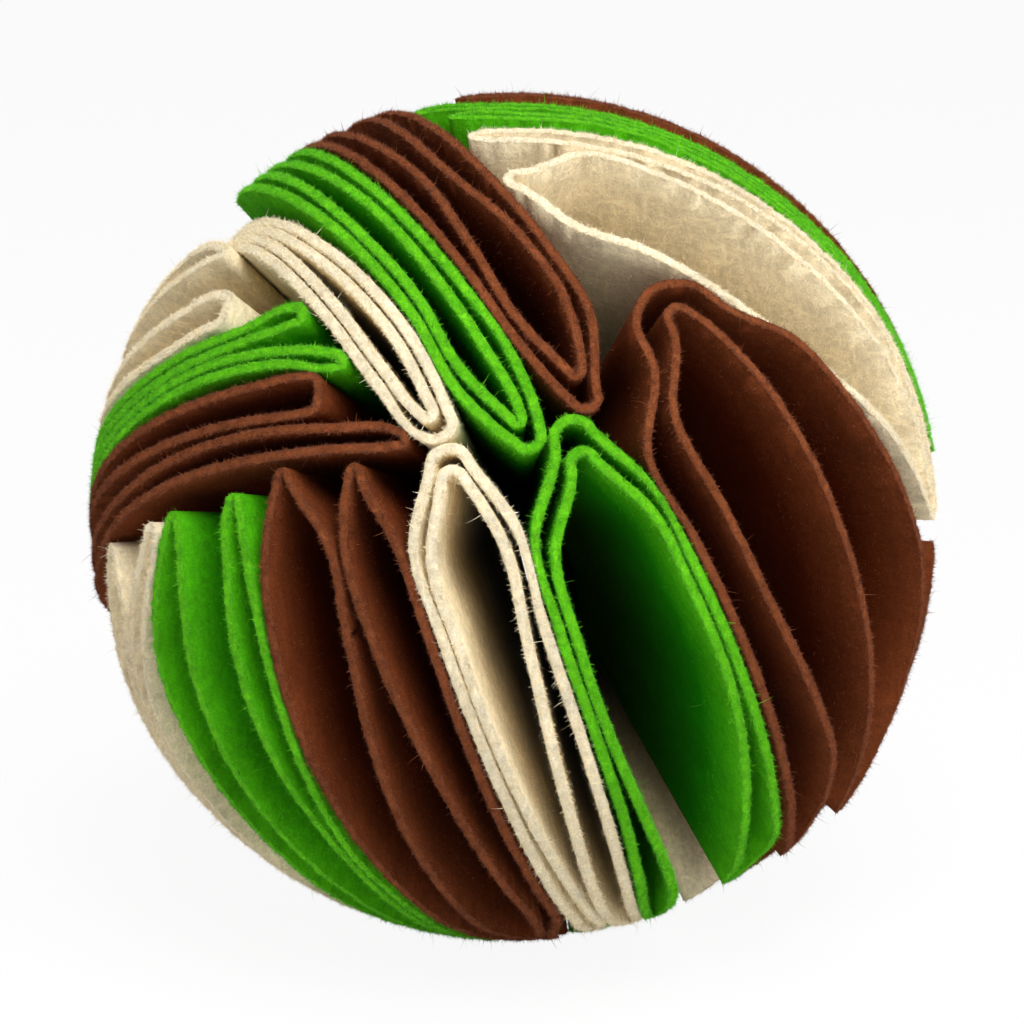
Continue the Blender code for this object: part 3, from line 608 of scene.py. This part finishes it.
def fibre_roots(points, along, length, random, count):
    """Random places on the felt near its cut edge, and the way that a fibre stands there."""
    rows, columns = points.shape[:2]
    row = np.searchsorted(along, random.random(count) * length) % rows
    spread = np.where(random.random(count) < EDGE_FIBRES, EDGE_ROWS / 2, EDGE_ROWS / 2 + FIBRE_FACE_ROWS)
    across = (columns - 1) / 2 + random.uniform(-1, 1, count) * spread
    column = np.floor(across).astype(int)
    share, slide = (across - column)[:, None], random.random(count)[:, None]
    onward = (row + 1) % rows
    here = points[row, column] * (1 - share) + points[row, column + 1] * share
    there = points[onward, column] * (1 - share) + points[onward, column + 1] * share
    root = here * (1 - slide) + there * slide
    outward = unit(root - BALL_CENTRE)
    facing = unit(np.cross(there - here, points[row, column + 1] - points[row, column]))
    away = root - points[row, columns - 1 - column] + OUTWARD_LEAN * outward
    facing *= np.sign((facing * away).sum(1))[:, None]
    way = unit(FIBRE_FACING * facing + FIBRE_OUTWARD * outward
               + random.normal(0, FIBRE_SPREAD, (count, 3)))
    return root - way * FIBRE_SUNK, way


def reach_shares(random, count, least, more, most):
    """Random shares of a usual length: at least one value, a usual amount more, at most another."""
    return np.minimum(least + random.exponential(more, count), most)


def fibres(name, seed, material):
    """Loose fibres: many short straight ones, and a few long ones that curl.

    A short fibre is one tapered triangle from its root to its tip. A long one is a strip of quads
    along root plus way times distance plus curl times distance squared, which narrows to its tip.
    """
    points, depth, edge_share, along, length = felt_grid(name, seed)
    sizes = bpy.context.scene.felt_sizes
    random = np.random.default_rng(seed + FIBRE_SEED)
    root, way = fibre_roots(points, along, length, random, sizes.fibre_count)
    count = len(root)
    reach = sizes.fibre_length * reach_shares(random, count, *SHORT_REACH)
    side = unit(np.cross(way, random.normal(0, 1, (count, 3)))) * sizes.fibre_width / 2
    short = np.stack([root - side, root + side, root + way * reach[:, None]], axis=1).reshape(-1, 3)
    short_faces = np.arange(3 * count).reshape(-1, 3)

    root, way = fibre_roots(points, along, length, random, sizes.long_fibres)
    count = len(root)
    reach = sizes.long_length * reach_shares(random, count, *LONG_REACH)
    curl = unit(np.cross(way, random.normal(0, 1, (count, 3)))) * random.uniform(-CURL, CURL, (count, 1))
    side = unit(np.cross(way, curl)) * sizes.fibre_width / 2
    steps = np.linspace(0, 1, LONG_FIBRE_POINTS)
    line = (root[:, None] + way[:, None] * (reach[:, None] * steps)[..., None]
            + curl[:, None] * (reach[:, None] * steps ** 2)[..., None])
    narrow = side[:, None] * (1 - LONG_TAPER * steps)[None, :, None]
    long = np.stack([line - narrow, line + narrow], axis=2).reshape(-1, 3)
    first = np.arange(0, 2 * LONG_FIBRE_POINTS - 2, 2)[:, None]
    strip = np.concatenate([first + [0, 1, 3], first + [0, 3, 2]])
    long_faces = (2 * LONG_FIBRE_POINTS * np.arange(count)[:, None, None] + strip[None]).reshape(-1, 3)
    vertices = np.concatenate([short, long])
    vertices[:, 2] = np.maximum(vertices[:, 2], GROUND_CLEAR)
    faces = np.concatenate([short_faces, long_faces + len(short)])
    return mesh_object(name + "_fibres", vertices, faces, material, smooth=False)


def outward_faces(points, quads):
    """The quads turned so that their normals point out: a closed mesh has a positive volume."""
    centre = points.mean(axis=0)
    a, b, c, d = (points[quads[:, k]] - centre for k in range(4))
    volume = (np.cross(b - a, c - a) * a).sum() + (np.cross(c - a, d - a) * a).sum()
    return quads if volume > 0 else quads[:, ::-1]


def colour_of(kind):
    colours = bpy.context.scene.felt_colours
    return getattr(colours, kind + "_face"), getattr(colours, kind + "_edge")


def link_chain(tree, *pairs):
    for source, target in pairs:
        tree.links.new(source, target)


def noise_node(tree, coordinates, scale, detail, roughness, distortion=0.0):
    noise = tree.nodes.new("ShaderNodeTexNoise")
    noise.inputs["Scale"].default_value = scale
    noise.inputs["Detail"].default_value = detail
    noise.inputs["Roughness"].default_value = roughness
    noise.inputs["Distortion"].default_value = distortion
    tree.links.new(coordinates, noise.inputs["Vector"])
    return noise.outputs["Fac"]


def stretched(tree, coordinates, scale):
    """The coordinates scaled by a different amount each way, which draws a noise out into streaks."""
    mapping = tree.nodes.new("ShaderNodeMapping")
    mapping.inputs["Scale"].default_value = scale
    tree.links.new(coordinates, mapping.inputs["Vector"])
    return mapping.outputs["Vector"]


def ranged(tree, value, low, high, to_low, to_high):
    """The value mapped from one range to another, and kept within it."""
    mapped = tree.nodes.new("ShaderNodeMapRange")
    for name, number in (("From Min", low), ("From Max", high), ("To Min", to_low), ("To Max", to_high)):
        mapped.inputs[name].default_value = number
    tree.links.new(value, mapped.inputs["Value"])
    return mapped.outputs["Result"]


def mixed_colour(tree, share, first, second, blend="MIX"):
    """Two colours mixed by a share; each is a socket or a plain colour."""
    mix = tree.nodes.new("ShaderNodeMix")
    mix.data_type = "RGBA"
    mix.blend_type = blend
    for socket, value in ((mix.inputs["Factor"], share), (mix.inputs[6], first), (mix.inputs[7], second)):
        if isinstance(value, bpy.types.NodeSocket):
            tree.links.new(value, socket)
        else:
            socket.default_value = value
    return mix.outputs[2]


def maths(tree, operation, first, second):
    node = tree.nodes.new("ShaderNodeMath")
    node.operation = operation
    for socket, value in zip(node.inputs, (first, second)):
        if isinstance(value, bpy.types.NodeSocket):
            tree.links.new(value, socket)
        else:
            socket.default_value = value
    return node.outputs[0]


def set_inputs(node, values):
    for name, value in values.items():
        node.inputs[name].default_value = value


def new_material(name):
    """A new material, its node tree, its Principled shader and a point's place on its object."""
    material = bpy.data.materials.new(name)
    material.use_nodes = True
    tree = material.node_tree
    place = tree.nodes.new("ShaderNodeTexCoord").outputs["Object"]
    return material, tree, tree.nodes["Principled BSDF"], place


def needle_felt(kind):
    """Matted felt: a mottled colour, paler along the cut edge, with short tangled fibres, and painted
    light: paler faces by the rim, and a richer colour and painted shade deep in the pockets.
    """
    name = "needle_felt_" + kind
    if name in bpy.data.materials:
        return bpy.data.materials[name]
    face, edge = colour_of(kind)
    material, tree, shader, place = new_material(name)
    tangle = noise_node(tree, place, *TANGLE_NOISE)
    tufts = noise_node(tree, place, *TUFT_NOISE)
    mottle = noise_node(tree, place, *MOTTLE_NOISE)
    streaks = [noise_node(tree, stretched(tree, place, way), *STREAK_NOISE) for way in STREAK_WAYS]
    streaks = maths(tree, "MAXIMUM", *streaks)
    edge_mask = tree.nodes.new("ShaderNodeAttribute")
    edge_mask.attribute_name = "cut_edge"
    depth = tree.nodes.new("ShaderNodeAttribute")
    depth.attribute_name = "depth"
    fray_and_painted_rim_light = maths(tree, "MULTIPLY", edge_mask.outputs["Fac"], ranged(tree, tufts, 0.3, 0.65, 0.5, 1.0))
    # Painted light: the faces grow paler over the last few millimetres by the rim, where the light reaches
    # them
    fray_and_painted_rim_light = maths(tree, "MAXIMUM", fray_and_painted_rim_light, ranged(tree, depth.outputs["Fac"], 0.8, 1.0, 0.0, 0.42))
    # Deep in a pocket the light has met the same felt several times, which makes its colour richer
    deep = [v * (v / max(face)) ** 0.5 for v in face]
    inwards = ranged(tree, depth.outputs["Fac"], 0.3, 0.85, 0.0, 1.0)
    inner = mixed_colour(tree, inwards, (*deep, 1), (*face, 1))
    colour = mixed_colour(tree, fray_and_painted_rim_light, inner, (*edge, 1))
    shade = ranged(tree, tangle, 0.3, 0.7, 1 - FACE_CONTRAST[kind], 1 + FACE_CONTRAST[kind])
    patch = ranged(tree, mottle, 0.3, 0.7, 0.86, 1.1)
    shade = maths(tree, "MULTIPLY", shade, patch)
    shade = maths(tree, "MULTIPLY", shade, ranged(tree, streaks, 0.45, 0.75, 0.9, 1.2))
    # Painted shade: the felt grows darker deeper into the ball, towards the tie, where the pockets lie in
    # shade
    shade = maths(tree, "MULTIPLY", shade,
                  maths(tree, "POWER", ranged(tree, depth.outputs["Fac"], 0.28, 0.87, 0.06, 1.0), 1.5))
    grey = tree.nodes.new("ShaderNodeCombineColor")
    for socket in grey.inputs:
        tree.links.new(shade, socket)
    colour = mixed_colour(tree, 1.0, colour, grey.outputs["Color"], "MULTIPLY")
    tree.links.new(colour, shader.inputs["Base Color"])
    set_inputs(shader, {"Roughness": 0.96, "Specular IOR Level": 0.04, "Sheen Weight": SHEEN[kind],
                        "Sheen Roughness": 0.45, "Sheen Tint": (*edge, 1)})
    height = maths(tree, "ADD", maths(tree, "MULTIPLY", tangle, 0.6), maths(tree, "MULTIPLY", tufts, 0.6))
    bump = tree.nodes.new("ShaderNodeBump")
    set_inputs(bump, FELT_BUMP)
    link_chain(tree, (height, bump.inputs["Height"]), (bump.outputs["Normal"], shader.inputs["Normal"]))
    return material


def fibre_material(kind):
    """Single fibres: the colour of the cut edge, mottled from fibre to fibre."""
    name = "felt_fibres_" + kind
    if name in bpy.data.materials:
        return bpy.data.materials[name]
    face, edge = colour_of(kind)
    material, tree, shader, place = new_material(name)
    mottle = noise_node(tree, place, *FIBRE_NOISE)
    share = ranged(tree, mottle, 0.35, 0.65, 0.35, 1.0)
    tree.links.new(mixed_colour(tree, share, (*face, 1), (*edge, 1)), shader.inputs["Base Color"])
    set_inputs(shader, {"Roughness": 0.9, "Specular IOR Level": 0.2, "Sheen Weight": 0.2})
    return material


def cotton_cord():
    """Cotton cord in painted shade: dark because it lies in shade deep in the ball, with a fine mottle."""
    if "cotton_cord" in bpy.data.materials:
        return bpy.data.materials["cotton_cord"]
    material, tree, shader, place = new_material("cotton_cord")
    mottle = noise_node(tree, place, *CORD_NOISE)
    tree.links.new(mixed_colour(tree, ranged(tree, mottle, 0.3, 0.7, 0, 1), *CORD_PAINTED_SHADE_COLOURS),
                   shader.inputs["Base Color"])
    set_inputs(shader, {"Roughness": 0.9})
    bump = tree.nodes.new("ShaderNodeBump")
    set_inputs(bump, CORD_BUMP)
    link_chain(tree, (mottle, bump.inputs["Height"]), (bump.outputs["Normal"], shader.inputs["Normal"]))
    return material


def body_of_node(node):
    return frame["nodes"][node]["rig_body"]


def dress_disc(name):
    """One folded disc: its felt sheet, and the loose fibres on it."""
    kind = name.split("_")[-1]
    seed = 10 + list(disc_rims()).index(name)
    points, depth, edge_share, along, length = felt_grid(name, seed)
    flat, quads = grid_mesh(points)
    felt = mesh_object(name + "_felt", flat, outward_faces(flat, quads), needle_felt(kind))
    point_attribute(felt, "cut_edge", edge_share)
    point_attribute(felt, "depth", depth)
    fuzz = fibres(name, seed, fibre_material(kind))
    for piece in (felt, fuzz):
        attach(piece, body_of_node(name))
    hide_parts(name)
    # Laid flat, the cone over a rim is a fan as wide as the ball's radius, and as long as the rim
    return felt


def dress_group(group):
    for name in disc_rims():
        if name.startswith(group):
            dress_disc(name)
    return {"FINISHED"}


def length_field(name, description, default):
    return bpy.props.FloatProperty(name=name, description=description, default=default, unit="LENGTH")


def power_field(name, description, default):
    return bpy.props.FloatProperty(name=name, description=description, default=default, unit="POWER")


def colour_field(name, description, default):
    return bpy.props.FloatVectorProperty(name=name, description=description, default=default,
                                         subtype="COLOR")


class FeltSizes(bpy.types.PropertyGroup):
    thickness: length_field("Felt thickness", "Thickness of the felt at its cut edge", 0.00175)
    edge_roundness: bpy.props.FloatProperty(
        name="Edge roundness", description="How far the cut edge is rounded, of half the thickness",
        default=0.22, subtype="FACTOR")
    edge_tufts: length_field("Edge tufts", "Usual height of the cut edge's small tufts", 0.00008)
    fibre_count: bpy.props.IntProperty(
        name="Fibres", description="Short loose fibres on each disc", default=36000)
    long_fibres: bpy.props.IntProperty(
        name="Long fibres", description="Long curled fibres on each disc", default=450)
    long_length: length_field("Long fibre length", "Usual length of a long fibre", 0.0014)
    fibre_length: length_field("Fibre length", "Usual length of a short fibre", 0.0007)
    fibre_width: length_field("Fibre width", "Width of a loose fibre at its root", 0.0001)


class FeltColours(bpy.types.PropertyGroup):
    cream_face: colour_field("Cream face", "Cream felt's faces", (0.93, 0.755, 0.45))
    cream_edge: colour_field("Cream edge", "Cream felt's cut edges", (0.82, 0.745, 0.57))
    green_face: colour_field("Green face", "Green felt's faces", (0.010, 0.27, 0.0004))
    green_edge: colour_field("Green edge", "Green felt's cut edges", (0.16, 0.58, 0.012))
    brown_face: colour_field("Brown face", "Brown felt's faces", (0.068, 0.0085, 0.0003))
    brown_edge: colour_field("Brown edge", "Brown felt's cut edges", (0.26, 0.076, 0.026))


class StudioSettings(bpy.types.PropertyGroup):
    key_power: power_field("Key light", "Power of the large light above the camera", 14.4)
    left_power: power_field("Left light", "Power of the weaker light at the left", 0.35)
    right_power: power_field("Right light", "Power of the light at the right", 1.8)
    world_level: bpy.props.FloatProperty(
        name="World level", description="Strength of the even light from all around", default=0.3)
    camera_distance: length_field("Camera distance", "From the ball's centre", 8 * BALL_RADIUS)
    camera_elevation: bpy.props.FloatProperty(
        name="Camera elevation", description="Angle above the floor",
        default=math.radians(TIP_BACK_DEG), subtype="ANGLE")


class SNIFF_OT_front_right(bpy.types.Operator):
    """The three discs at the front right: cream, green and brown"""
    bl_idname = "sniffing_ball.front_right"
    bl_label = "Front right discs"

    def execute(self, context):
        return dress_group("front_right")


class SNIFF_OT_front_left(bpy.types.Operator):
    """The three discs at the front left: brown, green and cream"""
    bl_idname = "sniffing_ball.front_left"
    bl_label = "Front left discs"

    def execute(self, context):
        return dress_group("front_left")


class SNIFF_OT_upper_left(bpy.types.Operator):
    """The three discs at the upper left: brown, green and cream"""
    bl_idname = "sniffing_ball.upper_left"
    bl_label = "Upper left discs"

    def execute(self, context):
        return dress_group("upper_left")


class SNIFF_OT_upper_middle(bpy.types.Operator):
    """The three discs in the upper middle: cream, green and brown"""
    bl_idname = "sniffing_ball.upper_middle"
    bl_label = "Upper middle discs"

    def execute(self, context):
        return dress_group("upper_middle")


class SNIFF_OT_upper_right(bpy.types.Operator):
    """The three discs at the upper right: cream, green and brown"""
    bl_idname = "sniffing_ball.upper_right"
    bl_label = "Upper right discs"

    def execute(self, context):
        return dress_group("upper_right")


class SNIFF_OT_back_upper(bpy.types.Operator):
    """The three discs at the top of the back"""
    bl_idname = "sniffing_ball.back_upper"
    bl_label = "Upper back discs"

    def execute(self, context):
        return dress_group("back_upper")


class SNIFF_OT_back_left(bpy.types.Operator):
    """The three discs low at the back left, one of which the ball rests on"""
    bl_idname = "sniffing_ball.back_left"
    bl_label = "Left back discs"

    def execute(self, context):
        return dress_group("back_left")


class SNIFF_OT_back_right(bpy.types.Operator):
    """The three discs low at the back right"""
    bl_idname = "sniffing_ball.back_right"
    bl_label = "Right back discs"

    def execute(self, context):
        return dress_group("back_right")


class SNIFF_OT_tie_cords(bpy.types.Operator):
    """The cords and the knot that hold the discs' corners, inside the ball"""
    bl_idname = "sniffing_ball.tie_cords"
    bl_label = "Tie cords"

    def execute(self, context):
        for name in ("upper_tie_cord", "lower_tie_cord", "joining_knot"):
            mesh = frame["nodes"][name].data
            mesh.materials.clear()
            mesh.materials.append(cotton_cord())
        return {"FINISHED"}


def soft_light(name, location, target, size, power):
    lamp = bpy.data.lights.new(name, "AREA")
    lamp.shape = "DISK"
    lamp.size = size
    lamp.energy = power
    obj = bpy.data.objects.new(name, lamp)
    obj.location = location
    obj.rotation_euler = (Vector(target) - Vector(location)).to_track_quat("-Z", "Y").to_euler()
    bpy.context.scene.collection.objects.link(obj)
    return obj


def seen_rays(tree):
    """1 where the camera, a reflection or glass sees the surface, else 0."""
    path = tree.nodes.new("ShaderNodeLightPath").outputs
    both = maths(tree, "MAXIMUM", path["Is Camera Ray"], path["Is Glossy Ray"])
    return maths(tree, "MAXIMUM", both, path["Is Transmission Ray"])


def pale_floor():
    """A white floor that keeps the ball's shadow, and looks white to the camera elsewhere."""
    material = bpy.data.materials.new("pale_floor")
    material.use_nodes = True
    tree = material.node_tree
    shader = tree.nodes["Principled BSDF"]
    shader.inputs["Base Color"].default_value = FLOOR_COLOUR
    shader.inputs["Roughness"].default_value = 0.9
    shader.inputs["Specular IOR Level"].default_value = 0.0
    glow = tree.nodes.new("ShaderNodeEmission")
    glow.inputs["Color"].default_value = (1, 1, 1, 1)
    glow.inputs["Strength"].default_value = 1.0
    mix = tree.nodes.new("ShaderNodeMixShader")
    link_chain(tree, (maths(tree, "MULTIPLY", seen_rays(tree), FLOOR_WHITE), mix.inputs["Fac"]),
               (shader.outputs["BSDF"], mix.inputs[1]), (glow.outputs["Emission"], mix.inputs[2]),
               (mix.outputs["Shader"], tree.nodes["Material Output"].inputs["Surface"]))
    return material


class SNIFF_OT_studio(bpy.types.Operator):
    """A plain pale floor, soft light, a white background and the camera"""
    bl_idname = "sniffing_ball.studio"
    bl_label = "Studio"

    def execute(self, context):
        studio = context.scene.felt_studio
        half = FLOOR_HALF
        corners = np.array([[-half, -half, 0], [half, -half, 0], [half, half, 0], [-half, half, 0]], float)
        floor = mesh_object("floor", corners, np.array([[0, 1, 2, 3]]), pale_floor(), smooth=False)
        centre = Vector(BALL_CENTRE)
        soft_light("key_light", KEY_PLACE, centre, KEY_SIZE, studio.key_power)
        soft_light("left_light", LEFT_PLACE, centre, SIDE_SIZE, studio.left_power)
        soft_light("right_light", RIGHT_PLACE, centre, SIDE_SIZE, studio.right_power)
        world = bpy.data.worlds.new("studio_white")
        context.scene.world = world
        world.use_nodes = True
        tree = world.node_tree
        background = tree.nodes["Background"]
        background.inputs["Color"].default_value = (1, 1, 1, 1)
        level = maths(tree, "ADD", maths(tree, "MULTIPLY", seen_rays(tree), 1 - studio.world_level),
                      studio.world_level)
        tree.links.new(level, background.inputs["Strength"])
        lens = bpy.data.cameras.new("photo_camera")
        lens.sensor_width = SENSOR_MM
        lens.lens = SENSOR_MM * PHOTO_RADIUS_PX * math.sqrt(
            (studio.camera_distance / BALL_RADIUS) ** 2 - 1) / PHOTO_SIZE_PX
        lens.shift_x = -PHOTO_CENTRE_PX[0] / PHOTO_SIZE_PX
        lens.shift_y = PHOTO_CENTRE_PX[1] / PHOTO_SIZE_PX
        camera = bpy.data.objects.new("photo_camera", lens)
        back = Vector((0, -math.cos(studio.camera_elevation), math.sin(studio.camera_elevation)))
        camera.location = centre + back * studio.camera_distance
        camera.rotation_euler = (-back).to_track_quat("-Z", "Y").to_euler()
        context.scene.collection.objects.link(camera)
        context.scene.camera = camera
        context.scene.view_settings.view_transform = "Standard"
        return {"FINISHED"}


class SNIFF_PT_panel(bpy.types.Panel):
    """The sniffing ball's sizes, colours and steps"""
    bl_label = "Sniffing Ball"
    bl_idname = "SNIFF_PT_panel"
    bl_space_type = "VIEW_3D"
    bl_region_type = "UI"
    bl_category = "Sniffing Ball"

    def draw(self, context):
        layout = self.layout
        for settings in (context.scene.felt_sizes, context.scene.felt_colours, context.scene.felt_studio):
            box = layout.box()
            for name in settings.__annotations__:
                box.prop(settings, name)
        for step in STEPS:
            layout.operator(step.bl_idname)


STEPS = (SNIFF_OT_studio, SNIFF_OT_front_right, SNIFF_OT_front_left, SNIFF_OT_upper_left,
         SNIFF_OT_upper_middle, SNIFF_OT_upper_right, SNIFF_OT_back_upper, SNIFF_OT_back_left,
         SNIFF_OT_back_right, SNIFF_OT_tie_cords)
SETTINGS = {"felt_sizes": FeltSizes, "felt_colours": FeltColours, "felt_studio": StudioSettings}


def register():
    for item in (*SETTINGS.values(), *STEPS, SNIFF_PT_panel):
        bpy.utils.register_class(item)
    for name, kind in SETTINGS.items():
        setattr(bpy.types.Scene, name, bpy.props.PointerProperty(type=kind))


def unregister():
    for name in SETTINGS:
        delattr(bpy.types.Scene, name)
    for item in (SNIFF_PT_panel, *reversed(STEPS), *SETTINGS.values()):
        bpy.utils.unregister_class(item)


def main():
    register()
    for step in STEPS:
        group, name = step.bl_idname.split(".")
        if getattr(getattr(bpy.ops, group), name)() != {"FINISHED"}:
            raise RuntimeError(step.bl_idname + " did not finish")


if __name__ == "__main__":
    main()
